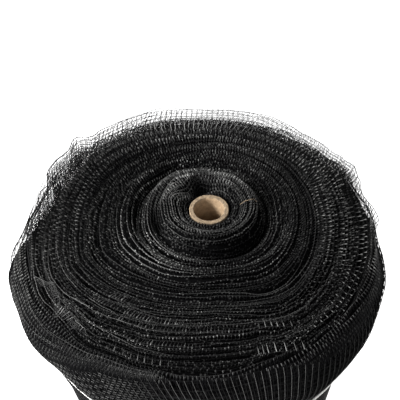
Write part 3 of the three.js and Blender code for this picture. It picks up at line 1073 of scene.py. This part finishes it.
def edge_shine(azimuth):
    """How much the edges of the rows show as smooth lines."""
    total = 0.0
    for middle, end, full, glint in EDGE_STRETCHES:
        total = total + glint * smooth(end, full, np.cos(azimuth - math.radians(middle)))
    return total


def rim_rows(name, numbers, ribs):
    """Several rows of layers: their ribs and their threads, two pieces."""
    rib_paths = []
    thread_paths = []
    for number in numbers:
        offset = np.random.default_rng(350 + number).uniform(0, 1)
        crowded = ROW_CROWDING * closed_wander(ribs + 1, 57, 370 + number)
        azimuth = (np.arange(ribs + 1) + offset + crowded) * TURN / ribs
        shine, stroke, lift, swing = row_shine(number, azimuth)
        rows, bare = row_points(number, azimuth, lift, swing)
        rarity = SHOULDER_RARITY if number >= RIM_ROWS else 1.0
        glint = np.minimum(uneven_glint(ribs + 1, 600 + 10 * number, rarity) * shine, 1.0)
        lit = 1 - STROKE_FADE * smooth(-1.2, 1.2, ROW_STEPS[None, :] - stroke[:, None])
        shown = np.flatnonzero(bare[:-1])
        rib_paths.append((np.swapaxes(rows, 0, 1)[shown], ROW_GIRTH, (glint[:, None] * lit)[shown]))
        edge = edge_shine(azimuth) * np.clip(closed_wander(ribs + 1, 9, 640 + 10 * number), 0, 1)
        edge = EDGE_SHARE * glint + edge
        for first, last in runs(bare):
            thread_paths.append((rows[:1, first:last], THREAD_GIRTH, edge[None, first:last]))
            thread_paths.append((rows[3:4, first:last], THREAD_GIRTH, DULL))
    strands(name + "_ribs", rib_paths)
    strands(name + "_threads", thread_paths)


rim_rows("outer_rows", range(RIM_ROWS), ROW_RIBS)
rim_rows("shoulder_rows", range(RIM_ROWS, RIM_ROWS + SHOULDER_ROWS), 2 * ROW_RIBS)


# At the back the outermost wraps lie inwards over the rim, and their ribs face the light, in painted highlight

BAND_FROM = 58.0
BAND_TO = 114.0
BAND_RIBS = 27
# how far inside the rim the points of a rib lie, with their girth and their share of its glint
BAND_STEPS = (15.0, 21.0, 28.0, 35.0, 43.0, 52.0)
BAND_GIRTH = np.array([0.35, 0.45, 0.5, 0.5, 0.45, 0.35])
BAND_SHINE = np.array([0.2, 0.7, 1.0, 1.0, 1.0, 0.6])
BAND_LIFT = 3.0
BAND_GLINT = 0.6
BAND_SLANT = 0.0009


def back_band():
    """The wraps' ribs from the rim inwards, fading out at both ends of the stretch."""
    chance = np.random.default_rng(960)
    spread = np.linspace(0, 1, BAND_RIBS)
    azimuth = np.radians(BAND_FROM + (BAND_TO - BAND_FROM) * spread)
    azimuth = azimuth + chance.uniform(-0.004, 0.004, BAND_RIBS)
    reach = chance.uniform(0.85, 1.05, BAND_RIBS)
    rows = []
    for step in BAND_STEPS:
        turned = azimuth + BAND_SLANT * (step - BAND_STEPS[0]) * (0.4 + spread)
        points, lengths = outer_path(turned)
        place = along_path(points, lengths, lengths[LIP_POINT] - step * reach)
        rows.append(place + np.array([0.0, 0.0, BAND_LIFT]))
    glint = BAND_GLINT * chance.uniform(0.45, 1.0, BAND_RIBS) * plateau(0, 0.15, 0.85, 1, spread)
    strands("back_band", [(np.swapaxes(np.array(rows), 0, 1), BAND_GIRTH, glint[:, None] * BAND_SHINE)])


back_band()


# Sheer layers that stand free along the rim, beside and behind

# radius that their lengths are counted at
SHEER_RADIUS = 212.0
SHEER_LAYERS = 13
# each layer's steps down and inwards from the one before, and the leans of the first and the last
SHEER_STEP_DOWN = 1.5
SHEER_STEP_IN = 0.7
SHEER_LEANS = (2, 34)
SHEER_PITCH = 5.8
STOUT_LAYERS = (0, 5)
# girths: plain, and what the left, the right and the back add
FINE_RIB = (0.17, 0.051, -0.034, 0.0)
STOUT_RIB = (0.3, 0.1, 0.1, 0.0)
SELVEDGE = (0.16, 0.2, 0.0, 0.06)
FIRST_SELVEDGE = (0.42, 0.3, 0.1, 0.0)
SHEER_THREAD_SHARE = 0.8
# at the left the layers lie further apart, sway less and tilt more evenly
LEFT_APART = 0.7
LEFT_CALM = 0.6
TILT_WAVES = 14.0
LEFT_TILT_CALM = 8.0
SHEER_FROM = -38.0
SHEER_TO = 216.0
SHEER_ROWS = 6
# how far the ribs slant, as a share of the mesh, how unevenly, and what changes at the back
SHEER_SLANT = 0.35
SLANT_WAVES = 0.25
BACK_SLANT = 0.2
BACK_CALM = 0.15
# each layer starts this share of a mesh beside the one before
SHEER_STAGGER = 0.41
# waves of a layer's edge, outwards and up
SHEER_SWAY = ((1.8, 23, 0), (1.0, 47, 1))
SHEER_RISE = ((2.2, 27, 2), (0.8, 53, 3))
# how far the layers drop at both ends of their stretch, and in the gap at the right
SHEER_END_DROP = 14.0
SHEER_NOTCH_DROP = 12.0
# how far the inner layers stay below the others at the back
SHEER_BACK_DROP = 9.0
# azimuth and half width of a place where the free layers stand out, and how far; below 0 they lie in
SHEER_BUMPS = (
    (-2, 8, 5), (11, 3.5, 4), (22, 6, -5), (60, 9, 2), (100, 7, 3), (124, 6, -2), (134, 2.5, -6),
    (139, 2.8, 3), (146, 3.5, -7), (154, 4, -1), (163, 3.5, -9), (173, 6, -4), (196, 10, -4),
)


def sheer_rim():
    """The free-standing layers, each a slanting net with a selvedge along its edge."""
    count = int(math.radians(SHEER_TO - SHEER_FROM) * SHEER_RADIUS / SHEER_PITCH)
    spread = np.linspace(0, 1, count)
    ends = plateau(0, 0.1, 0.9, 1, spread)
    mesh_angle = SHEER_PITCH / SHEER_RADIUS
    rib_paths = []
    thread_paths = []
    for number in range(SHEER_LAYERS):
        seed = 800 + 10 * number
        azimuth = np.radians(SHEER_FROM + (SHEER_TO - SHEER_FROM) * spread)
        azimuth = azimuth + SHEER_STAGGER * number * mesh_angle
        left = smooth(0.2, 0.8, -np.cos(azimuth))
        right = smooth(0.2, 0.8, np.cos(azimuth))
        back = smooth(0.5, 0.8, np.sin(azimuth))
        radius = round_the_lip(LIP_RADIUS, azimuth) - SHEER_STEP_IN * number * (1 + LEFT_APART * left)
        radius = radius + waves(SHEER_SWAY, count, seed) * (1 - LEFT_CALM * left)
        for middle, half, out in SHEER_BUMPS:
            radius = radius + out * np.exp(-((np.degrees(azimuth) - middle) / half) ** 2)
        height = round_the_lip(LIP_HEIGHT, azimuth) - SHEER_STEP_DOWN * number - SHEER_END_DROP * (1 - ends)
        height = height + waves(SHEER_RISE, count, seed)
        if number > 1:
            height = height - SHEER_NOTCH_DROP * (1 - smooth(0.6, 1.4, off_notch(azimuth)))
        height = height - SHEER_BACK_DROP * back * smooth(2, 5, number)
        lean = np.interp(number, (0, SHEER_LAYERS - 1), SHEER_LEANS)
        tilt = np.radians(lean + (TILT_WAVES - LEFT_TILT_CALM * left) * closed_wander(count, 19, seed + 4))
        uneven = (SLANT_WAVES - BACK_CALM * back) * closed_wander(count, 11, seed + 6)
        slant = (SHEER_SLANT + BACK_SLANT * back + uneven) * mesh_angle
        rows = []
        for row in range(SHEER_ROWS + 1):
            rows.append(on_side(radius, azimuth + row * slant, height))
            radius = radius - SHEER_PITCH * np.sin(tilt)
            height = height - SHEER_PITCH * np.cos(tilt)
        rows = np.array(rows)
        glint = EDGE_SHARE * uneven_glint(count, 900 + 10 * number)
        sides = np.array([np.ones(count), left, right, back])
        girth = (STOUT_RIB if number in STOUT_LAYERS else FINE_RIB) @ sides
        selvedge = (SELVEDGE if number else FIRST_SELVEDGE) @ sides
        rib_paths.append((np.swapaxes(rows, 0, 1), girth[:, None], glint[:, None]))
        thread_paths.append((rows[:1], selvedge, DULL))
        thread_paths.append((rows[1:], SHEER_THREAD_SHARE * girth, DULL))
    strands("sheer_rim_ribs", rib_paths)
    strands("sheer_rim_threads", thread_paths)


sheer_rim()


# A loose fold of the outermost wrap, lying on the rim at the lower left

# azimuth and radius of the fold's edge, and its width
FOLD_EDGE = (
    (200, 207, 3), (203, 205, 5), (207, 197, 9), (209.5, 190, 12), (214, 191, 8), (219, 196, 14),
    (223, 193, 16), (228, 195, 9), (233, 198, 2),
)
FOLD_RIBS = 44
FOLD_ROWS = 5
# how high it lies and how unevenly, how its edge waves, how its ribs skew, spread and fall, and crumple
FOLD_LIFT = 4.5
FOLD_LIFT_WAVES = 1.5
FOLD_WAVES = 1.2
FOLD_SKEW = (0.02, 0.03)
FOLD_SPREAD = 0.8
FOLD_FALL = 0.25
FOLD_CRUMPLE = 0.7
# glint of its ribs, its threads and its edge
FOLD_GLINTS = (0.9, 0.4, 0.6)
FOLD_RIB_GIRTH = 0.32
FOLD_THREAD_GIRTH = 0.28
# how far out the fold may reach, and how far out the end's form is measured for it
FOLD_OUTSIDE = 210.0
END_OUTSIDE = 202.0


def loose_fold():
    """A narrow strip of net along the fold's edge: crumpled, with some threads pale in painted highlight."""
    table = np.array(FOLD_EDGE, float)
    chance = np.random.default_rng(972)
    degrees = np.linspace(table[0, 0], table[-1, 0], FOLD_RIBS) + chance.uniform(-0.25, 0.25, FOLD_RIBS)
    edge = np.interp(degrees, table[:, 0], table[:, 1]) + FOLD_WAVES * closed_wander(FOLD_RIBS, 15, 970)
    width = np.interp(degrees, table[:, 0], table[:, 2]) * chance.uniform(0.6, 1.2, FOLD_RIBS)
    lift = FOLD_LIFT + FOLD_LIFT_WAVES * closed_wander(FOLD_RIBS, 9, 971)
    skew = ranged(FOLD_SKEW, closed_wander(FOLD_RIBS, 7, 973))
    rib_glint, thread_glint, edge_glint = FOLD_GLINTS
    rows = []
    for share in np.linspace(0, 1, FOLD_ROWS):
        radius = np.minimum(edge + FOLD_SPREAD * share * width, FOLD_OUTSIDE)
        azimuth = np.radians(degrees) - skew * share
        height = end_height(np.minimum(radius, END_OUTSIDE), azimuth) + lift - FOLD_FALL * share * width
        crumple = chance.uniform(-FOLD_CRUMPLE, FOLD_CRUMPLE, FOLD_RIBS)
        rows.append(on_end(radius + crumple, azimuth, height))
    rows = np.array(rows)
    across = rib_glint * chance.uniform(0, 1, (FOLD_RIBS, 1)) ** 3 * np.linspace(1.0, 0.3, FOLD_ROWS)
    along = thread_glint * chance.uniform(0, 1, (FOLD_ROWS, 1))
    along = along * (0.5 + 0.5 * closed_wander(FOLD_RIBS, 11, 974)) ** 3
    along[0] = edge_glint * (0.5 + 0.5 * closed_wander(FOLD_RIBS, 8, 975)) ** 2
    ribs = (np.swapaxes(rows, 0, 1), FOLD_RIB_GIRTH, across)
    strands("loose_fold", [ribs, (rows, FOLD_THREAD_GIRTH, along)])


loose_fold()


# Net round the side, from the last row down to the floor

# azimuth, and how far the ribs slant there for each millimetre down, just under the last row
RIB_SLANT = (
    (30, 0), (90, 0.1), (150, 0.2), (205, 0.6), (235, 1.1), (255, 0.95), (267, 0.6), (280, 0.2), (292, -0.2),
    (308, -0.6), (335, -0.4),
)
# azimuth, and glint of the ribs and of the threads there: painted highlight, by how the light falls on each
# side
SIDE_GLINT = (
    (0, 0.14, 0.05), (90, 0.2, 0.06), (185, 0.12, 0.04), (215, 0.02, 0.02), (236, 0.03, 0.02),
    (250, 0.15, 0.03), (300, 0.2, 0.02), (315, 0.1, 0.03), (340, 0.08, 0.03),
)
# the same for the wrap under it
UNDER_GLINT = ((0, 0.02, 0.02), (200, 0.0, 0.03), (330, 0.0, 0.0))
SLANT_FADE = 80.0
# how far the ribs wave, in radians, how unevenly the net stands off, and how much flatter it lies at the tie
RIB_WAVE = 0.004
STAND_OFF_WAVE = 0.5
FLAT_AT_TIE = 0.8
# lower down the ribs and threads show alike all round
LOW_RIB_GLINT = 0.2
LOW_THREAD_GLINT = 0.07
GLINT_FADE = 120.0
WRAP_RADIUS = 215.0
WRAP_RIB_GIRTH = 0.34
WRAP_THREAD_GIRTH = 0.17
# near the top a rib has a point at every thread, and below that many at every second one
CLOSE_ROWS = 14
# the wraps begin at least this far below the rim
WRAP_DROP = 3.0
# waves of a wrap's upper edge, share of the glint that a rib has, and the most that a thread has
WRAP_EDGE_WAVES = 1.5
WRAP_RIB_SHARE = (0.75, 0.25)
WRAP_DASHES = 1.4
WRAP_SEED = 21
# azimuth, and share by which the net lies flatter there, where the tie shows past the bulge
FLAT_BESIDE = ((0, 0), (196, 0), (208, 0.9), (232, 0.9), (246, 0), (298, 0), (308, 0.9), (330, 0.9), (342, 0))
TIE_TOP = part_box("tie_cord")[1][2] / MM


def wrap_top(azimuth):
    """Height where the wraps of the side begin."""
    return round_the_lip(LIP_HEIGHT, azimuth) - np.maximum(round_table(LAST_ROW_DROP, azimuth), WRAP_DROP)


def side_points(azimuth, heights, stand_off, seed):
    """Points of a wrap round the side, rows from the top down by ribs by 3; its ribs slant near the top."""
    grid_azimuth = np.broadcast_to(azimuth, heights.shape)
    below = heights[:1] - heights
    slant = round_table(RIB_SLANT, azimuth) * SLANT_FADE * (1 - np.exp(-below / SLANT_FADE)) / WRAP_RADIUS
    wavy = grid_azimuth + slant + RIB_WAVE * patches(heights, grid_azimuth, 60, 20, seed)
    lift = stand_off + STAND_OFF_WAVE * patches(heights, grid_azimuth, 40, 24, seed + 1)
    at_tie = FLAT_AT_TIE * smooth(TIE_TOP + 30, TIE_TOP + 10, heights)
    flat = np.maximum(at_tie, round_table(FLAT_BESIDE, wavy))
    lift = lift * (1 - flat)
    return on_side(side_radius(heights, wavy) + lift + spots(SIDE_BUMPS, heights, wavy), wavy, heights)


def side_net(name, ribs, stand_off, seed, start, reach, glints):
    """One wrap of net from near the rim down: its ribs and its threads, two pieces."""
    azimuth = (np.arange(ribs + 1) + start) * TURN / ribs - TURN / 4
    top = wrap_top(azimuth) + WRAP_EDGE_WAVES * closed_wander(ribs + 1, 31, seed + 7)
    count = int(reach / MESH_PITCH)
    share = np.arange(count + 1)[:, None] / count
    bottom = CORE_END - reach + 1.0
    points = side_points(azimuth, top * (1 - share) + bottom * share, stand_off, seed)
    chosen = np.concatenate((np.arange(CLOSE_ROWS), np.arange(CLOSE_ROWS, count + 1, 2)))
    rib_glint = round_table([row[:2] for row in glints], azimuth)
    thread_glint = round_table([row[::2] for row in glints], azimuth)
    uneven = ranged(WRAP_RIB_SHARE, closed_wander(ribs + 1, 40, seed + 8))
    near_top = np.exp(-chosen * MESH_PITCH / GLINT_FADE)[None, :]
    glint = uneven[:-1, None] * (rib_glint[:-1, None] * near_top + LOW_RIB_GLINT * (1 - near_top))
    strands(name + "_ribs", [(np.swapaxes(points[chosen], 0, 1)[:-1], WRAP_RIB_GIRTH, glint)])
    near_top = np.exp(-np.arange(count + 1) * MESH_PITCH / GLINT_FADE)[:, None]
    dashes = WRAP_DASHES * np.random.default_rng(seed + 9).uniform(0, 1, points.shape[:2])
    glint = dashes * (thread_glint[None, :] * near_top + LOW_THREAD_GLINT * (1 - near_top))
    strands(name + "_threads", [(points, WRAP_THREAD_GIRTH, glint)])


side_net("outer_wrap", ribs=174, stand_off=0.9, seed=WRAP_SEED, start=0.5, reach=CORE_END, glints=SIDE_GLINT)
side_net("second_wrap", ribs=177, stand_off=0.6, seed=41, start=0.1, reach=150.0, glints=UNDER_GLINT)


# Stitches between the ribs of the outermost wrap, where the light catches them at the lower left: their glint
# is painted highlight

STITCH_FROM = 204.0
STITCH_TO = 258.0
STITCHES_ROUND = 250
# share of the distance to the next stitch
STITCH_LENGTH = 0.62
STITCH_ROWS_APART = 2.3
STITCH_ROWS = 44
STITCH_GIRTH = 0.24
STITCH_STAND_OFF = 1.3
STITCH_GLINT = (0.1, 0.2)
# how far above the tie the stitches end
CLEAR_OF_TIE = 3.0


def wrap_stitches():
    """Short threads across the outermost wrap, each row set half a step aside from the one above."""
    count = int((STITCH_TO - STITCH_FROM) / 360 * STITCHES_ROUND)
    columns = math.radians(STITCH_FROM) + np.arange(count) * TURN / STITCHES_ROUND
    row = np.arange(STITCH_ROWS + 1)[:, None]
    heights = wrap_top(columns) - STITCH_ROWS_APART * row
    ends = []
    for share in (0.0, STITCH_LENGTH):
        azimuth = columns + (0.5 * (row % 2) + share) * TURN / STITCHES_ROUND
        ends.append(side_points(azimuth, heights, STITCH_STAND_OFF, WRAP_SEED)[1:])
    lines = np.stack(ends, axis=2).reshape(-1, 2, 3)
    degrees = np.degrees(columns)
    lit = plateau(STITCH_FROM, STITCH_FROM + 12, STITCH_TO - 16, STITCH_TO, degrees)
    chance = np.random.default_rng(77).uniform(0, 1, (STITCH_ROWS, count))
    glint = (ranged(STITCH_GLINT, chance) * lit).reshape(-1, 1)
    clear = lines[:, :, 2].min(axis=1) > TIE_TOP + CLEAR_OF_TIE
    strands("wrap_stitches", [(lines[clear], STITCH_GIRTH, glint[clear])])


wrap_stitches()


# Cardboard core

CORE_SECTORS = 96
# layers that show on the end, their spacing, and how far every second one is sunk
CORE_LAYERS = 8
LAYER_STEP = 0.55
LAYER_SUNK = 0.25
# how uneven the worn end is, and how deep it counts as worn
WEAR = 0.35
WORN_DEPTH = 2.0


def cardboard_core():
    """The wound tube, with a slightly worn, uneven end."""
    azimuth = np.arange(CORE_SECTORS) * TURN / CORE_SECTORS
    bore = CORE_OUTER_RADIUS - CORE_WALL
    section = [(bore, CORE_END - 0.9), (bore + 0.4, CORE_END - 0.2)]
    for layer in range(CORE_LAYERS):
        sunk = LAYER_SUNK if layer % 2 else 0.0
        section.append((bore + 0.9 + LAYER_STEP * layer, CORE_END - sunk))
    section += [(CORE_OUTER_RADIUS - 0.3, CORE_END - 0.2), (CORE_OUTER_RADIUS, CORE_END - 0.9)]
    section += [(CORE_OUTER_RADIUS, height) for height in np.linspace(CORE_END - 12, 0.0, 18)]
    section += [(bore + 0.5, 0.0), (bore, 0.5)]
    section += [(bore, height) for height in np.linspace(12.0, CORE_END - 8, 30)]
    rings = []
    for radius, height in section:
        level = np.full(CORE_SECTORS, height)
        if height > CORE_END - WORN_DEPTH:
            level = level + WEAR * patches(np.full(CORE_SECTORS, radius * 4), azimuth, 3.0, 48, 71)
        offset = np.stack((np.cos(azimuth), np.sin(azimuth)), axis=-1) * radius
        rings.append(np.column_stack((CORE_AXIS + offset, level)))
    return closed_mesh("cardboard_core", np.array(rings)[::-1], CARDBOARD)


core = cardboard_core()
# the bore's wall takes the paler copy of the cardboard: painted light on the inside of the tube
core.data.materials.append(PAINTED_LIGHT_BORE)
for face in core.data.polygons:
    if np.hypot(*(np.array(face.center[:2]) / MM - CORE_AXIS)) < CORE_OUTER_RADIUS - CORE_WALL + 0.1:
        face.material_index = 1
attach(core, "root")
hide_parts("core_tube")


# A shred of the core's cardboard, caught in the net beside it

# offsets from the core's axis, and height above the net
SHRED = ((38, -1, 2.5), (44, 0.5, 3.2), (50, 0.5, 3.4), (55, 2.5, 3.0), (59, 3, 2.2))
SHRED_GIRTH = 0.35


def cardboard_shred():
    """One thin curl of fibre."""
    curl = np.array(SHRED, float)
    radius = np.hypot(curl[:, 0], curl[:, 1])
    azimuth = np.arctan2(curl[:, 1], curl[:, 0])
    line = on_end(radius, azimuth, tip_level(radius, azimuth) + curl[:, 2])
    strands("cardboard_shred", [(line[None], SHRED_GIRTH, 0.0)], CARDBOARD, sides=5)


cardboard_shred()


# White tie

PLIES = 3
# length of one turn of a ply, and distance of a ply's middle from the cord's
PLY_LAY = 11.0
PLY_RADIUS = 0.8
PLY_GIRTH = 0.85
TIE_POINTS = 900


def tie_path(count):
    """Centre of the tie at evenly spaced azimuths, from the CAD ring."""
    radius, azimuth, height = corners_of("tie_cord")
    sector = np.round(azimuth / TURN * LIP_SECTORS).astype(int) % LIP_SECTORS
    mean_radius = np.array([radius[sector == number].mean() for number in range(LIP_SECTORS)])
    mean_height = np.array([height[sector == number].mean() for number in range(LIP_SECTORS)])
    around = np.linspace(0.0, TURN, count)
    return round_the_lip(mean_radius, around), around, round_the_lip(mean_height, around)


def twisted_tie():
    """Three plies laid round each other along the tie."""
    radius, azimuth, height = tie_path(TIE_POINTS)
    plies = []
    turns = round(TURN * radius.mean() / PLY_LAY)
    for ply in range(PLIES):
        angle = azimuth * turns + ply * TURN / PLIES
        out = PLY_RADIUS * np.cos(angle)
        up = PLY_RADIUS * np.sin(angle)
        plies.append(on_side(radius + out, azimuth, height + up))
    return strands("twisted_tie", [(np.array(plies), PLY_GIRTH, 0.0)], TIE_YARN, sides=6)


tie = twisted_tie()
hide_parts("tie_cord")


# Floor, light and camera

FLOOR_HALF = 12.0

def floor():
    """A plain pale floor."""
    mesh = bpy.data.meshes.new("floor")
    corners = [(x * FLOOR_HALF, y * FLOOR_HALF, 0) for x, y in ((-1, -1), (1, -1), (1, 1), (-1, 1))]
    mesh.from_pydata(corners, [], [(0, 1, 2, 3)])
    pale = Finish("pale_floor")
    pale.shade({"Base Color": (0.9, 0.9, 0.9, 1), "Roughness": 0.9})
    pale.shade({"Emission Color": (1, 1, 1, 1), "Emission Strength": 0.9})
    mesh.materials.append(pale.material)
    return linked("floor", mesh)


floor()


def soft_light(name, place, aim, size, power):
    """A square soft box that looks at a point."""
    light = bpy.data.lights.new(name, "AREA")
    light.size = size
    light.energy = power
    lamp = linked(name, light)
    lamp.location = place
    lamp.rotation_euler = (Vector(aim) - Vector(place)).to_track_quat("-Z", "Y").to_euler()


soft_light("key_left", place=(-1.65, -0.35, 2.2), aim=(0, 0, 0.95), size=0.6, power=130)
soft_light("front_fill", place=(0.2, -1.8, 2.0), aim=(0, 0, 0.95), size=1.5, power=16)

world = bpy.data.worlds.new("studio")
world.use_nodes = True
sky = world.node_tree.nodes["Background"].inputs
sky["Color"].default_value = (1, 1, 1, 1)
sky["Strength"].default_value = 0.25
bpy.context.scene.world = world
bpy.context.scene.view_settings.view_transform = "Standard"

# the view: its angle over level, its roll, its distance from the core's end, and where that end appears
VIEW_HEIGHT = math.radians(46.5)
VIEW_ROLL = math.radians(-1.95)
VIEW_DISTANCE = 700.0
FOCAL_PIXELS = 567.0
CORE_PIXEL = (209.0, 208.8)
IMAGE_SIZE = 400.0
SENSOR_WIDTH = 36.0


def photo_camera():
    """A camera that sees the core's end where the photograph does."""
    back = Vector((0, -math.cos(VIEW_HEIGHT), math.sin(VIEW_HEIGHT)))
    level = Vector((1, 0, 0))
    upright = back.cross(level)
    right = level * math.cos(VIEW_ROLL) + upright * math.sin(VIEW_ROLL)
    up = upright * math.cos(VIEW_ROLL) - level * math.sin(VIEW_ROLL)
    across = (CORE_PIXEL[0] - IMAGE_SIZE / 2) / FOCAL_PIXELS * VIEW_DISTANCE
    above = -(CORE_PIXEL[1] - IMAGE_SIZE / 2) / FOCAL_PIXELS * VIEW_DISTANCE
    target = Vector((CORE_AXIS[0], CORE_AXIS[1], CORE_END))
    place = (target + back * VIEW_DISTANCE - right * across - up * above) * MM
    data = bpy.data.cameras.new("photo_camera")
    data.sensor_width = SENSOR_WIDTH
    data.lens = FOCAL_PIXELS / IMAGE_SIZE * SENSOR_WIDTH
    data.clip_start = 0.01
    camera = linked("photo_camera", data)
    camera.matrix_world = Matrix((
        (right.x, up.x, back.x, place.x),
        (right.y, up.y, back.y, place.y),
        (right.z, up.z, back.z, place.z),
        (0, 0, 0, 1),
    ))
    bpy.context.scene.camera = camera


photo_camera()
